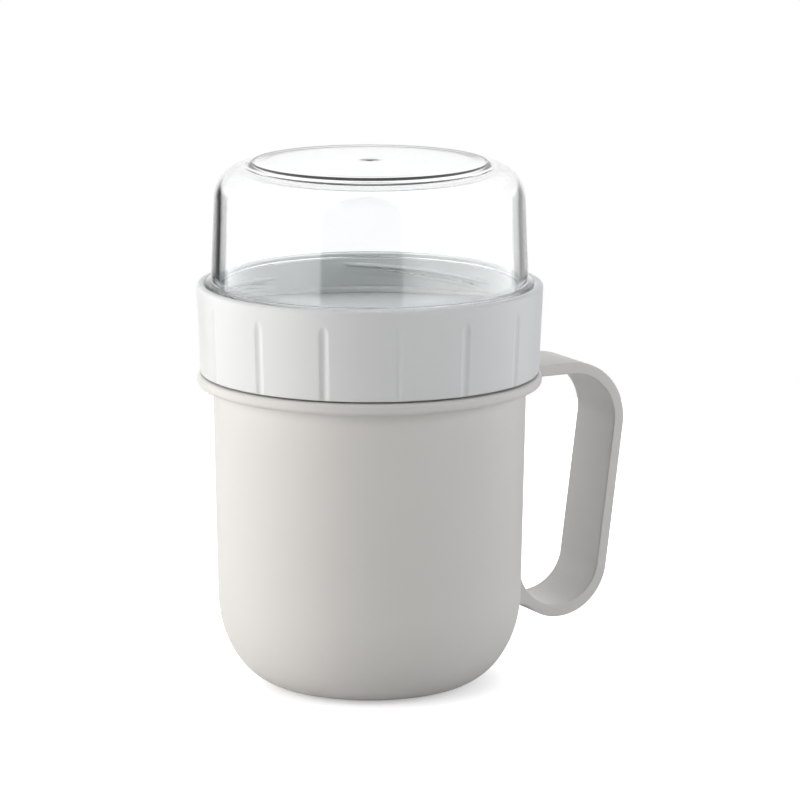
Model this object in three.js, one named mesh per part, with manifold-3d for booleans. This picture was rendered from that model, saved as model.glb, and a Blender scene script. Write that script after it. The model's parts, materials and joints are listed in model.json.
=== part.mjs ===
// A plastic to-go cup: a cup with a strip handle moulded on, a screw collar that is a lid on both sides,
// and a clear bowl that screws into the collar upside down.
// Millimetres, +Z up. The origin is the middle of the cup's base, and the handle points along +X.
import * as THREE from 'three';
import { mergeVertices } from 'three/addons/utils/BufferGeometryUtils.js';
import Module from 'manifold-3d';

// Cup wall, base, flange and neck
const CUP_RADIUS = 47.7; // outside of the wall at the flange, and of the neck above it
const CUP_DRAFT = 1.15; // degrees that the wall leans in towards the base
const CUP_WALL = 2;
const CUP_CORNER_WIDTH = 20; // the round bottom corner is a quarter ellipse
const CUP_CORNER_HEIGHT = 28;
const FLANGE_TOP = 95.85; // height of the flange's upper face above the base
const FLANGE_THICKNESS = 3.4;
const FLANGE_OVERHANG = 0.9; // how far the flange stands out past the collar
const FLANGE_ROUNDING = 1.3;
const NECK_HEIGHT = 11.85;
const LIP_ROUNDING = 0.5;

// Handle: a flat strip bent into a loop
const HANDLE_WIDTH = 24;
const HANDLE_THICKNESS = 3.15;
const HANDLE_LOW_THICKNESS = 3.9; // at the lowest point of the loop
const HANDLE_REACH = 35.6; // from the cup wall to the handle's outer face
const HANDLE_HEIGHT = 79.85; // outer height of the loop
const HANDLE_DROP = 1.45; // from the flange's upper face to the strip's
const HANDLE_LEAN = 7.3; // degrees that the grip leans in towards the base
const HANDLE_TOP_BEND = 18.6; // outer bend radii
const HANDLE_LOW_BEND = 17.5;
const HANDLE_ROOT_FILLET = 14; // height of the fillet where the strip's upper side runs into the wall
const HANDLE_ROOT_STAND = 0.5; // how far the fillet's upper end stands out from the wall
const HANDLE_ROOT_FADE = 12; // height over which that end fades into the wall
const HANDLE_ROOT_RISE = 40; // degrees that the strip rises before it meets the wall
const HANDLE_ROOT_CURVE = 7; // reverse curve on the underside at the wall
const HANDLE_EDGE = 0.8; // chamfer along the strip's edges

// Screw threads, the same form on the cup's neck and on the bowl's spigot
const THREAD_LEAD = 16; // rise in one whole turn
const THREAD_STARTS = 4;
const THREAD_DEPTH = 1.4;
const THREAD_FOOT = 1.5; // axial width of a ridge at its foot and at its crest
const THREAD_CREST = 0.8;
const THREAD_SINK = 0.5; // how far a ridge's foot is sunk into its wall
const THREAD_CLEARANCE = 0.45; // from a crest to the wall that faces it
const THREAD_ARC = 67.5; // degrees of one ridge
const THREAD_MARGIN = 1; // from a ridge to the end of the neck or spigot
const NECK_THREAD_PHASE = 0; // degrees from the handle to where a ridge starts
const SPIGOT_THREAD_PHASE = 7.5;

// Collar
const COLLAR_WALL = 1.9;
const COLLAR_FLARE = 1.2; // how much wider the collar is at its rim than at its lower edge
const COLLAR_GAP = 0.5; // the dark line between the flange and the collar
const COLLAR_RIM_WIDTH = 2.4;
const COLLAR_RIM_ROUNDING = 1.2;
const LEDGE_DEPTH = 1.3; // the bowl's stop ring sinks this far into the rim
const PARTITION_THICKNESS = 1.8;
const SEAL_RIB_HEIGHT = 4.3; // ring under the partition that stands inside the neck
const SEAL_RIB_THICKNESS = 1.4;
const FLUTE_COUNT = 15;
const FLUTE_WIDTH = 3;
const FLUTE_DEPTH = 0.5;
const FLUTE_TOP_MARGIN = 4.3; // from the rim down to the flutes' round upper ends
const FLUTE_PHASE = 11.4; // degrees from the handle to the nearest flute

// Gaskets
const GASKET_THICKNESS = 1.5;
const BOWL_GASKET_WIDTH = 3.4;
const SEAT_GAP = 0.3; // free gap between pieces that lie on each other

// Bowl
const STOP_RING_WIDTH = 0.8; // overlap of the stop ring on the collar's ledge
const STOP_RING_THICKNESS = 1.6;
const SPIGOT_LENGTH = 8.7;
const SPIGOT_WALL = 1.5;
const BOWL_HEIGHT = 36.4; // from the stop ring's upper face to the foot
const BOWL_SHOULDER_STEP = 1.85; // how far the bowl wall stands in from the stop ring's edge
const BOWL_DRAFT = 2.45;
const BOWL_WALL = 2;
const BOWL_SHOULDER = 10.2; // shoulder radius
const FOOT_HEIGHT = 1.2;
const FOOT_SLOPE = 1.6; // width of the sloped edge of the foot
const GATE_RADIUS = 1.5; // small moulding mark in the middle of the foot
const GATE_DEPTH = 0.3;

// Facets
const SEGMENTS = 48; // around the axis
const ARC_STEPS = 5; // in a quarter round
const CORNER_STEPS = 8; // in the cup's bottom corner
const EDGE_STEPS = 3; // in a rounded edge
const FLUTE_FACETS = 16; // around the rod that cuts a flute
const HANDLE_STEPS = 8; // in each bend of the handle
const SAME_POINT = 1e-3; // points closer than this are one point

// Cup, from the base up
const draft = Math.tan(THREE.MathUtils.degToRad(CUP_DRAFT));
const flangeUnderside = FLANGE_TOP - FLANGE_THICKNESS;
const neckTop = FLANGE_TOP + NECK_HEIGHT;
const cornerRadius = CUP_RADIUS - draft * (flangeUnderside - CUP_CORNER_HEIGHT);
const cornerCentre = cornerRadius - CUP_CORNER_WIDTH;
const boreAtFlange = CUP_RADIUS - CUP_WALL;
const boreAtTop = boreAtFlange + draft * NECK_HEIGHT;

// Collar, outwards from the neck's thread and then upwards from the neck's lip
const neckCrest = CUP_RADIUS + THREAD_DEPTH;
const skirtBore = neckCrest + THREAD_CLEARANCE;
const collarLowRadius = skirtBore + COLLAR_WALL;
const collarTopRadius = collarLowRadius + COLLAR_FLARE;
const flangeRadius = collarLowRadius + FLANGE_OVERHANG;
const collarBottom = FLANGE_TOP + COLLAR_GAP;
const neckGasketBottom = neckTop + SEAT_GAP;
const partitionUnderside = neckGasketBottom + GASKET_THICKNESS + SEAT_GAP;
const pocketFloor = partitionUnderside + PARTITION_THICKNESS;
const bowlGasketBottom = pocketFloor + SEAT_GAP;
const spigotBottom = bowlGasketBottom + GASKET_THICKNESS + SEAT_GAP;
const stopRingBottom = spigotBottom + SPIGOT_LENGTH;
const ledgeTop = stopRingBottom - SEAT_GAP;
const collarTop = ledgeTop + LEDGE_DEPTH;
const sealRibRadius = boreAtFlange - SEAT_GAP;

// Bowl, inwards from the collar's rim
const ledgeRadius = collarTopRadius - COLLAR_RIM_WIDTH;
const stopRingRadius = ledgeRadius - SEAT_GAP;
const pocketBore = stopRingRadius - STOP_RING_WIDTH;
const spigotRadius = pocketBore - THREAD_CLEARANCE - THREAD_DEPTH;
const mouthRadius = spigotRadius - SPIGOT_WALL;
const stopRingTop = stopRingBottom + STOP_RING_THICKNESS;
const bowlRadius = stopRingRadius - BOWL_SHOULDER_STEP;
const footTop = stopRingTop + BOWL_HEIGHT;
const shoulderTop = footTop - FOOT_HEIGHT;
const bowlSlope = Math.tan(THREE.MathUtils.degToRad(BOWL_DRAFT));
const shoulderCentreZ = shoulderTop - BOWL_SHOULDER;
const shoulderRadius = bowlRadius - bowlSlope * (shoulderCentreZ - stopRingTop);
const shoulderCentre = shoulderRadius - BOWL_SHOULDER;

const wasm = await Module();
wasm.setup();

// A closed solid from any closed three.js geometry, with its faces turned outwards
function solidOf(geometry) {
  const bare = new THREE.BufferGeometry();
  bare.setAttribute('position', geometry.getAttribute('position'));
  bare.setIndex(geometry.getIndex());
  const merged = mergeVertices(bare, SAME_POINT);
  const points = merged.getAttribute('position').array;
  const corners = [];
  const index = merged.getIndex().array;
  let volume = 0;
  const a = new THREE.Vector3();
  const b = new THREE.Vector3();
  const c = new THREE.Vector3();
  for (let i = 0; i < index.length; i += 3) {
    const [p, q, r] = [index[i], index[i + 1], index[i + 2]];
    if (p === q || q === r || r === p) continue;
    corners.push(p, q, r);
    a.fromArray(points, 3 * p);
    b.fromArray(points, 3 * q);
    c.fromArray(points, 3 * r);
    volume += a.dot(b.cross(c));
  }
  if (volume < 0) corners.reverse();
  const vertProperties = new Float32Array(points);
  const triVerts = new Uint32Array(corners);
  return new wasm.Manifold(new wasm.Mesh({ numProp: 3, vertProperties, triVerts }));
}

function geometryOf(solid) {
  const mesh = solid.getMesh();
  const geometry = new THREE.BufferGeometry();
  geometry.setAttribute('position', new THREE.BufferAttribute(mesh.vertProperties, 3));
  geometry.setIndex(new THREE.BufferAttribute(mesh.triVerts, 1));
  geometry.computeVertexNormals();
  return geometry;
}

// Profile points are [radius, height]. A profile that starts or ends off the axis closes on itself.
function turned(profile) {
  const points = profile.map(([radius, height]) => new THREE.Vector2(radius, height));
  const [first, last] = [points[0], points[points.length - 1]];
  if (first.x > 0 || last.x > 0) points.push(first.clone());
  return new THREE.LatheGeometry(points, SEGMENTS).rotateX(Math.PI / 2);
}

// Points of an elliptic arc in a profile, angles in degrees from the outward direction
function arc(centre, height, width, rise, from, to, steps = ARC_STEPS) {
  const points = [];
  for (let i = 0; i <= steps; i += 1) {
    const angle = THREE.MathUtils.degToRad(from + ((to - from) * i) / steps);
    points.push([centre + width * Math.cos(angle), height + rise * Math.sin(angle)]);
  }
  return points;
}

// A rounded outer edge, a quarter circle: its lower quarter starts at -90 degrees and its upper quarter at 0
function edge(radius, height, rounding, from) {
  const centreZ = from < 0 ? height + rounding : height - rounding;
  return arc(radius - rounding, centreZ, rounding, rounding, from, from + 90, EDGE_STEPS);
}

// One start of a right-hand thread: a ridge of trapezoid section along the helix, from the wall to the crest.
// Its foot is sunk into the wall, and its two ends fade into the wall.
function ridge(wall, crest, angle, height) {
  const foot = wall - Math.sign(crest - wall) * THREAD_SINK;
  const stepAngle = 360 / SEGMENTS;
  const steps = Math.round(THREAD_ARC / stepAngle);
  const points = [];
  const index = [];
  for (let i = 0; i <= steps; i += 1) {
    const faded = i === 0 || i === steps;
    const turn = THREE.MathUtils.degToRad(angle + i * stepAngle);
    const rise = height + (THREAD_LEAD * i * stepAngle) / 360;
    const top = faded ? (foot + wall) / 2 : crest;
    const section = [[foot, -THREAD_FOOT], [top, -THREAD_CREST], [top, THREAD_CREST], [foot, THREAD_FOOT]];
    for (const [radius, width] of section) {
      points.push(radius * Math.cos(turn), radius * Math.sin(turn), rise + width / 2);
    }
    if (i === steps) break;
    for (let k = 0; k < section.length; k += 1) {
      const p = 4 * i + k;
      const q = 4 * i + ((k + 1) % 4);
      index.push(p, q, p + 4, q, q + 4, p + 4);
    }
  }
  const end = 4 * steps;
  index.push(0, 2, 1, 0, 3, 2, end, end + 1, end + 2, end, end + 2, end + 3);
  const geometry = new THREE.BufferGeometry();
  geometry.setAttribute('position', new THREE.Float32BufferAttribute(points, 3));
  geometry.setIndex(index);
  return solidOf(geometry);
}

function threaded(solid, wall, crest, phase, height) {
  let result = solid;
  for (let start = 0; start < THREAD_STARTS; start += 1) {
    result = result.add(ridge(wall, crest, phase + (360 * start) / THREAD_STARTS, height));
  }
  return result;
}

// The collar's lower ridges hook under the neck's, and the bowl's ridges hook under those of the pocket
const ridgeOffset = THREAD_FOOT + SEAT_GAP;
const neckThreadHeight = FLANGE_TOP + THREAD_MARGIN + ridgeOffset + THREAD_FOOT;
const spigotThreadHeight = spigotBottom + THREAD_MARGIN + THREAD_FOOT / 2;

// The strip handle, drawn in the plane of its loop and extruded across its width
function handleSolid() {
  const lean = THREE.MathUtils.degToRad(HANDLE_LEAN);
  const rise = THREE.MathUtils.degToRad(HANDLE_ROOT_RISE);
  const topZ = FLANGE_TOP - HANDLE_DROP;
  const lowZ = topZ - HANDLE_HEIGHT;
  const top = new THREE.Vector2(CUP_RADIUS + HANDLE_REACH - HANDLE_TOP_BEND, topZ - HANDLE_TOP_BEND);
  // the low bend touches the leaning grip, which is tangent to the top bend, and the lowest line of the loop
  const drop = top.y - (lowZ + HANDLE_LOW_BEND);
  const inset = (HANDLE_TOP_BEND - HANDLE_LOW_BEND) / Math.cos(lean) - drop * Math.tan(lean);
  const low = new THREE.Vector2(top.x + inset, lowZ + HANDLE_LOW_BEND);
  const wallEdge = Math.sqrt(cornerRadius ** 2 - (HANDLE_WIDTH / 2) ** 2);
  const root = wallEdge / 2; // inside the cup, where the cavity is cut later
  const underAngle = -Math.PI / 2 - rise;
  const underReach = HANDLE_LOW_BEND + HANDLE_ROOT_CURVE;
  const under = new THREE.Vector2(Math.cos(underAngle), Math.sin(underAngle));
  under.multiplyScalar(underReach).add(low);
  const filletZ = lowZ + HANDLE_LOW_THICKNESS + HANDLE_ROOT_FILLET;
  const filletReach = low.x - cornerRadius - HANDLE_ROOT_STAND;
  const innerReach = HANDLE_LOW_BEND - HANDLE_THICKNESS;
  const innerDrop = HANDLE_LOW_BEND - HANDLE_LOW_THICKNESS;

  const outline = new THREE.Path();
  outline.moveTo(root, topZ);
  outline.absarc(top.x, top.y, HANDLE_TOP_BEND, Math.PI / 2, -lean, true);
  outline.absarc(low.x, low.y, HANDLE_LOW_BEND, -lean, underAngle, true);
  outline.absarc(under.x, under.y, HANDLE_ROOT_CURVE, Math.PI / 2 - rise, Math.PI / 2, false);
  outline.lineTo(root, under.y + HANDLE_ROOT_CURVE);
  outline.lineTo(root, filletZ + HANDLE_ROOT_FADE);
  outline.lineTo(wallEdge, filletZ + HANDLE_ROOT_FADE);
  outline.absellipse(low.x, filletZ, filletReach, HANDLE_ROOT_FILLET, Math.PI, 1.5 * Math.PI, false, 0);
  outline.absellipse(low.x, low.y, innerReach, innerDrop, -Math.PI / 2, -lean, false, 0);
  outline.absarc(top.x, top.y, HANDLE_TOP_BEND - HANDLE_THICKNESS, -lean, Math.PI / 2, false);
  outline.lineTo(root, topZ - HANDLE_THICKNESS);
  // where two arcs meet, their shared point is kept once
  const points = outline.getPoints(HANDLE_STEPS);
  const apart = points.filter((point, i) => i === 0 || point.distanceTo(points[i - 1]) > SAME_POINT);
  const strip = new THREE.ExtrudeGeometry(new THREE.Shape(apart), {
    depth: HANDLE_WIDTH - 2 * HANDLE_EDGE,
    bevelSize: HANDLE_EDGE,
    bevelOffset: -HANDLE_EDGE,
    bevelThickness: HANDLE_EDGE,
    bevelSegments: 1,
  });
  return solidOf(strip.rotateX(Math.PI / 2).translate(0, HANDLE_WIDTH / 2 - HANDLE_EDGE, 0));
}

// The cup's bottom corner, a quarter ellipse, or the same corner set in by the wall
function bottomCorner(inset) {
  const [width, rise] = [CUP_CORNER_WIDTH - inset, CUP_CORNER_HEIGHT - inset];
  return arc(cornerCentre, CUP_CORNER_HEIGHT, width, rise, -90, 0, CORNER_STEPS);
}

function cupSolid() {
  const outside = turned([
    [0, 0],
    ...bottomCorner(0),
    [CUP_RADIUS, flangeUnderside],
    ...edge(flangeRadius, flangeUnderside, FLANGE_ROUNDING, -90),
    ...edge(flangeRadius, FLANGE_TOP, FLANGE_ROUNDING, 0),
    [CUP_RADIUS, FLANGE_TOP],
    ...edge(CUP_RADIUS, neckTop, LIP_ROUNDING, 0),
    [0, neckTop],
  ]);
  const cavity = turned([
    [0, CUP_WALL],
    ...bottomCorner(CUP_WALL),
    [boreAtFlange, FLANGE_TOP],
    [boreAtTop, neckTop],
    [boreAtTop, neckTop + NECK_HEIGHT],
    [0, neckTop + NECK_HEIGHT],
  ]);
  const body = solidOf(outside).add(handleSolid());
  const shell = body.subtract(solidOf(cavity));
  return threaded(shell, CUP_RADIUS, neckCrest, NECK_THREAD_PHASE, neckThreadHeight);
}

// The collar's outer wall leans out towards the rim, and each flute follows it
function collarRadiusAt(height) {
  return collarLowRadius + (COLLAR_FLARE * (height - collarBottom)) / (collarTop - collarBottom);
}

function fluteSolid(angle) {
  const cutter = ((FLUTE_WIDTH / 2) ** 2 + FLUTE_DEPTH ** 2) / (2 * FLUTE_DEPTH);
  const top = collarTop - FLUTE_TOP_MARGIN;
  const bottom = collarBottom - cutter;
  const lean = Math.atan(COLLAR_FLARE / (collarTop - collarBottom));
  const middle = (top + bottom) / 2;
  const rod = new THREE.CapsuleGeometry(cutter, top - bottom - cutter, EDGE_STEPS, FLUTE_FACETS);
  rod.rotateX(Math.PI / 2).rotateY(lean);
  rod.translate(collarRadiusAt(middle) + cutter - FLUTE_DEPTH, 0, middle - cutter / 2);
  return solidOf(rod.rotateZ(THREE.MathUtils.degToRad(angle)));
}

function collarSolid() {
  const shell = turned([
    [0, pocketFloor],
    [0, partitionUnderside],
    [sealRibRadius - SEAL_RIB_THICKNESS, partitionUnderside],
    [sealRibRadius - SEAL_RIB_THICKNESS, partitionUnderside - SEAL_RIB_HEIGHT],
    [sealRibRadius, partitionUnderside - SEAL_RIB_HEIGHT],
    [sealRibRadius, partitionUnderside],
    [skirtBore, partitionUnderside],
    [skirtBore, collarBottom],
    [collarLowRadius, collarBottom],
    ...edge(collarTopRadius, collarTop, COLLAR_RIM_ROUNDING, 0),
    [ledgeRadius, collarTop],
    [ledgeRadius, ledgeTop],
    [pocketBore, ledgeTop],
    [pocketBore, pocketFloor],
    [0, pocketFloor],
  ]);
  let collar = solidOf(shell);
  for (let i = 0; i < FLUTE_COUNT; i += 1) {
    collar = collar.subtract(fluteSolid(FLUTE_PHASE + (360 * i) / FLUTE_COUNT));
  }
  const neckGroove = CUP_RADIUS + THREAD_CLEARANCE;
  collar = threaded(collar, skirtBore, neckGroove, NECK_THREAD_PHASE, neckThreadHeight - ridgeOffset);
  const spigotGroove = spigotRadius + THREAD_CLEARANCE;
  return threaded(collar, pocketBore, spigotGroove, SPIGOT_THREAD_PHASE, spigotThreadHeight + ridgeOffset);
}

function gasketSolid(inner, outer, bottom) {
  const top = bottom + GASKET_THICKNESS;
  return solidOf(turned([[inner, bottom], [outer, bottom], [outer, top], [inner, top]]));
}

function bowlSolid() {
  const footRadius = shoulderCentre - FOOT_SLOPE;
  const shell = turned([
    [0, footTop - BOWL_WALL],
    [footRadius, footTop - BOWL_WALL],
    ...arc(shoulderCentre, shoulderCentreZ, BOWL_SHOULDER - BOWL_WALL, BOWL_SHOULDER - BOWL_WALL, 90, 0),
    [mouthRadius, stopRingBottom],
    [mouthRadius, spigotBottom],
    [spigotRadius, spigotBottom],
    [spigotRadius, stopRingBottom],
    [stopRingRadius, stopRingBottom],
    [stopRingRadius, stopRingTop],
    [bowlRadius, stopRingTop],
    ...arc(shoulderCentre, shoulderCentreZ, BOWL_SHOULDER, BOWL_SHOULDER, 0, 90),
    [footRadius, footTop],
    [GATE_RADIUS, footTop],
    [GATE_RADIUS, footTop - GATE_DEPTH],
    [0, footTop - GATE_DEPTH],
  ]);
  return threaded(
    solidOf(shell), spigotRadius, spigotRadius + THREAD_DEPTH, SPIGOT_THREAD_PHASE, spigotThreadHeight,
  );
}

function piece(name, solid, material) {
  const mesh = new THREE.Mesh(geometryOf(solid), material);
  mesh.name = name;
  return mesh;
}

const cupPlastic = new THREE.MeshStandardMaterial({ color: '#d6d2cd', roughness: 0.5, metalness: 0 });
const collarPlastic = new THREE.MeshStandardMaterial({ color: '#d3d7d8', roughness: 0.45, metalness: 0 });
const silicone = new THREE.MeshStandardMaterial({ color: '#e6e6e2', roughness: 0.6, metalness: 0 });
const clearPlastic = new THREE.MeshStandardMaterial({
  color: '#f4f6f6', roughness: 0.08, metalness: 0, transparent: true, opacity: 0.35,
});

const neckGasket = gasketSolid(sealRibRadius + SEAT_GAP, skirtBore - SEAT_GAP, neckGasketBottom);
const pocketGasketOuter = pocketBore - SEAT_GAP;
const pocketGasket = gasketSolid(pocketGasketOuter - BOWL_GASKET_WIDTH, pocketGasketOuter, bowlGasketBottom);

const toGoCup = new THREE.Group();
toGoCup.name = 'to_go_cup';
toGoCup.add(
  piece('cup', cupSolid(), cupPlastic),
  piece('cup_gasket', neckGasket, silicone),
  piece('collar', collarSolid(), collarPlastic),
  piece('bowl_gasket', pocketGasket, silicone),
  piece('clear_bowl', bowlSolid(), clearPlastic),
);

export default toGoCup;
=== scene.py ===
# %% [markdown]
# # A plastic to-go cup
#
# The real thing is three mouldings and two seals: a warm grey cup with a strip handle, a cool grey screw
# collar with grip flutes, and a clear bowl that screws into the collar upside down. A silicone ring sits
# in each screw. The plastic is injection moulded, so every edge is slightly round and every wall leans a
# degree or so, and those two things are what makes plastic look like plastic.
#
# Sizes are in millimetres, and become metres only where a mesh is made.

# %% The fixed frame
import json
import math

import bmesh
import bpy
from mathutils import Matrix, Vector

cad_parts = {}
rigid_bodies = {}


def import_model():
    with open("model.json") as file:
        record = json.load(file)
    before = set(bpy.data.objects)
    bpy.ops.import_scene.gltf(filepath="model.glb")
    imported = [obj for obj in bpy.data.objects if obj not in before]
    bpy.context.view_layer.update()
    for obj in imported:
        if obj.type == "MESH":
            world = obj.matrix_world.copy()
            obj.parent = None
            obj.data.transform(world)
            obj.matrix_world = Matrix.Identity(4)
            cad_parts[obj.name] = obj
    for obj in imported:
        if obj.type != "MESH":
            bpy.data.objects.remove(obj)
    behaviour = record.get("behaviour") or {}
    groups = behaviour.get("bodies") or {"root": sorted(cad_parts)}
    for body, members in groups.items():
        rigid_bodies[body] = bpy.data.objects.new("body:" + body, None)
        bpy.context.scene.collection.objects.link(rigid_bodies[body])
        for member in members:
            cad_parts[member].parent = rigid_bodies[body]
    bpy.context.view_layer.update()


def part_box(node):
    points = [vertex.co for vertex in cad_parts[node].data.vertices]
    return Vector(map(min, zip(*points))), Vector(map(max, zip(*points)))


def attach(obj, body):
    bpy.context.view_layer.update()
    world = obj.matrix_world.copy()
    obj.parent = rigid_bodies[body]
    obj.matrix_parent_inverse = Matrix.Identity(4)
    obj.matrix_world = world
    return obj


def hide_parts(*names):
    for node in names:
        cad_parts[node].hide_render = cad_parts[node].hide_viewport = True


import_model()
MM = 0.001


def reach_of(node):
    """A node's lowest and highest corner at rest, in millimetres."""
    low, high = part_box(node)
    return low / MM, high / MM


cup_low, cup_high = reach_of("cup")
collar_low, collar_high = reach_of("collar")
bowl_low, bowl_high = reach_of("clear_bowl")
print(f"cup {cup_high.z:.2f} mm tall, collar {collar_low.z:.2f} to {collar_high.z:.2f} mm")
print(f"bowl {bowl_low.z:.2f} to {bowl_high.z:.2f} mm")

# %% [markdown]
# ## Camera
#
# The photograph was taken from a good distance with a long lens, a little above the cup, with the handle
# pointing right and away. The rims show as ellipses, and how much rounder they get from top to bottom
# gives the camera's height and distance. A turn to the side, not a lens shift, puts the cup left of centre.

# %% The photograph's camera
PHOTO_WIDTH = 800  # pixels, and as many high
FOCAL_PIXELS = 4505
AXIS_COLUMN = 369.65  # pixel column of the cup's axis
SENSOR_WIDTH = 36
CAMERA_AZIMUTH = -27.6  # degrees round the cup, where 0 looks along +Y
CAMERA_REACH = 1345.2  # from the cup's axis, level
CAMERA_HEIGHT = 354.5
CAMERA_PITCH = 11.25  # degrees below level
CAMERA_ROLL = 0.12  # degrees
CLIP_NEAR, CLIP_FAR = 50, 50000


def round_about(azimuth, reach, height):
    """A point round the cup in metres, with its azimuth counted as the camera's is."""
    turn = math.radians(azimuth)
    return Vector((reach * math.sin(turn), -reach * math.cos(turn), height)) * MM


aside = math.atan((PHOTO_WIDTH / 2 - AXIS_COLUMN) / FOCAL_PIXELS / math.cos(math.radians(CAMERA_PITCH)))
lens = bpy.data.cameras.new("photo_lens")
lens.sensor_width = SENSOR_WIDTH
lens.lens = SENSOR_WIDTH * FOCAL_PIXELS / PHOTO_WIDTH
lens.clip_start, lens.clip_end = CLIP_NEAR * MM, CLIP_FAR * MM
camera = bpy.data.objects.new("photo_camera", lens)
camera.location = round_about(CAMERA_AZIMUTH, CAMERA_REACH, CAMERA_HEIGHT)
camera.rotation_euler = (math.radians(90 - CAMERA_PITCH), 0, math.radians(CAMERA_AZIMUTH) - aside)
camera.rotation_euler.rotate_axis("Z", math.radians(CAMERA_ROLL))
bpy.context.scene.collection.objects.link(camera)
bpy.context.scene.camera = camera
print(f"lens {lens.lens:.1f} mm, turned {math.degrees(aside):.2f} degrees aside")

# %% [markdown]
# ## Drawing and turning profiles
#
# Nearly everything here is round, so each moulding starts as half of its section, turned about the Z axis.
# A profile is a short list of corners, and each corner may have a rounding. Screw and Bevel modifiers would
# also do, but drawing the arcs gives each edge its own radius and keeps the body closed for cutting.

# %% Profiles
ARC_STEP = math.radians(11.25)


def rounded(*corners):
    """An outline through corners of (radius, height) or (radius, height, rounding).
    A corner with a rounding becomes an arc."""
    outline = []
    for i, corner in enumerate(corners):
        here = Vector(corner[:2])
        if len(corner) == 2:
            outline.append(here)
            continue
        rounding = corner[2]
        back = (Vector(corners[i - 1][:2]) - here).normalized()
        ahead = (Vector(corners[(i + 1) % len(corners)][:2]) - here).normalized()
        half = back.angle(ahead) / 2
        middle = here + (back + ahead).normalized() * rounding / math.sin(half)
        first = here + back * rounding / math.tan(half) - middle
        last = here + ahead * rounding / math.tan(half) - middle
        sweep = math.atan2(first.x * last.y - first.y * last.x, first.dot(last))
        steps = max(2, round(abs(sweep) / ARC_STEP))
        outline += [middle + Matrix.Rotation(sweep * k / steps, 2) @ first for k in range(steps + 1)]
    return outline


def bend(middle, width, rise, start, end, steps):
    """Points of an elliptic arc about middle, with its angles in degrees from the outward direction."""
    angles = [math.radians(start + (end - start) * k / steps) for k in range(steps + 1)]
    return [(middle[0] + width * math.cos(a), middle[1] + rise * math.sin(a)) for a in angles]


def spaced(outline, step):
    """The outline with its long straight stretches divided."""
    points = [Vector(outline[0])]
    for point in map(Vector, outline[1:]):
        parts = max(1, math.ceil((point - points[-1]).length / step))
        points += [points[-1].lerp(point, k / parts) for k in range(1, parts + 1)]
    return points


print("points on a rounded right angle:", len(rounded((0, 0), (10, 0, 2), (10, 10))) - 2)

# %% Turned bodies
SAME_POINT = 1e-4
TURN_STEPS = 240
AROUND = [math.radians(360 * i / TURN_STEPS) for i in range(TURN_STEPS)]


def closed_body(name, points, faces):
    """A mesh object from points in millimetres, with its faces turned outwards."""
    mesh = bpy.data.meshes.new(name)
    mesh.from_pydata([Vector(p) * MM for p in points], [], faces)
    work = bmesh.new()
    work.from_mesh(mesh)
    bmesh.ops.recalc_face_normals(work, faces=work.faces)
    work.to_mesh(mesh)
    work.free()
    body = bpy.data.objects.new(name, mesh)
    bpy.context.scene.collection.objects.link(body)
    return body


def turned(name, outline, angles=AROUND, press=None):
    """A body turned about Z from an outline that starts and ends on the axis, or else closes on itself.
    press(radius, height, angle) may give another radius, to work a pattern into the surface."""
    outline = [Vector(p) for p in outline]
    outline = [p for i, p in enumerate(outline) if i == 0 or (p - outline[i - 1]).length > SAME_POINT]
    points, rings = [], []
    for radius, height in outline:
        spokes = angles if radius > SAME_POINT else [0]
        rings.append(range(len(points), len(points) + len(spokes)))
        for angle in spokes:
            r = press(radius, height, angle) if press else radius
            points.append((r * math.cos(angle), r * math.sin(angle), height))
    pairs = list(zip(rings, rings[1:]))
    if len(rings[0]) > 1:
        pairs.append((rings[-1], rings[0]))
    faces = []
    for low, high in pairs:
        for i in range(len(angles)):
            k = (i + 1) % len(angles)
            ring = [low[i % len(low)], low[k % len(low)], high[k % len(high)], high[i % len(high)]]
            faces.append(list(dict.fromkeys(ring)))
    return closed_body(name, points, faces)


print("steps round a turned body:", len(AROUND))

# %% Lofted bodies, joining and cutting
SHARP_ANGLE = math.radians(32)


def lofted(name, sections):
    """A body laid over a row of sections with as many points each, closed at both ends."""
    count = len(sections[0])
    points = [point for section in sections for point in section]
    faces = []
    for first in range(0, len(points) - count, count):
        for k in range(count):
            a, b = first + k, first + (k + 1) % count
            faces.append((a, b, b + count, a + count))
    faces.append(range(count))
    faces.append(range(len(points) - count, len(points)))
    return closed_body(name, points, faces)


def combine(body, tool, operation):
    """The body with the tool joined to it or cut from it. The tool is used up."""
    step = body.modifiers.new(operation, "BOOLEAN")
    step.operation = operation
    step.solver = "MANIFOLD"
    step.object = tool
    result = body.evaluated_get(bpy.context.evaluated_depsgraph_get())
    body.data, old = bpy.data.meshes.new_from_object(result), body.data
    body.modifiers.clear()
    bpy.data.meshes.remove(old)
    bpy.data.meshes.remove(tool.data)
    return body


def dressed(piece, body, node, material):
    """Smooth shading with crisp edges, the material, and what the frame needs to know of the piece."""
    piece.data.shade_smooth()
    piece.data.set_sharp_from_angle(angle=SHARP_ANGLE)
    piece.data.materials.clear()
    piece.data.materials.append(material)
    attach(piece, body)
    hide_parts(node)
    size = piece.dimensions / MM
    print(f"{piece.name}: {len(piece.data.polygons)} faces, {size.x:.1f} x {size.y:.1f} x {size.z:.1f} mm")
    return piece


print(f"edges sharper than {math.degrees(SHARP_ANGLE):.0f} degrees stay crisp")

# %% [markdown]
# ## Colours and nodes
#
# Colours are written as the sRGB hex values that a colour picker shows, and one function turns them to the
# linear values that shaders use. One more adds a node with its settings and links, so a material reads as a
# list of what its surface has.

# %% Colour and node helpers
def linear(hex_colour):
    """An sRGB hex colour as linear RGBA."""
    channels = [int(hex_colour[i:i + 2], 16) / 255 for i in (1, 3, 5)]
    return [c / 12.92 if c <= 0.04045 else ((c + 0.055) / 1.055) ** 2.4 for c in channels] + [1]


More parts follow.
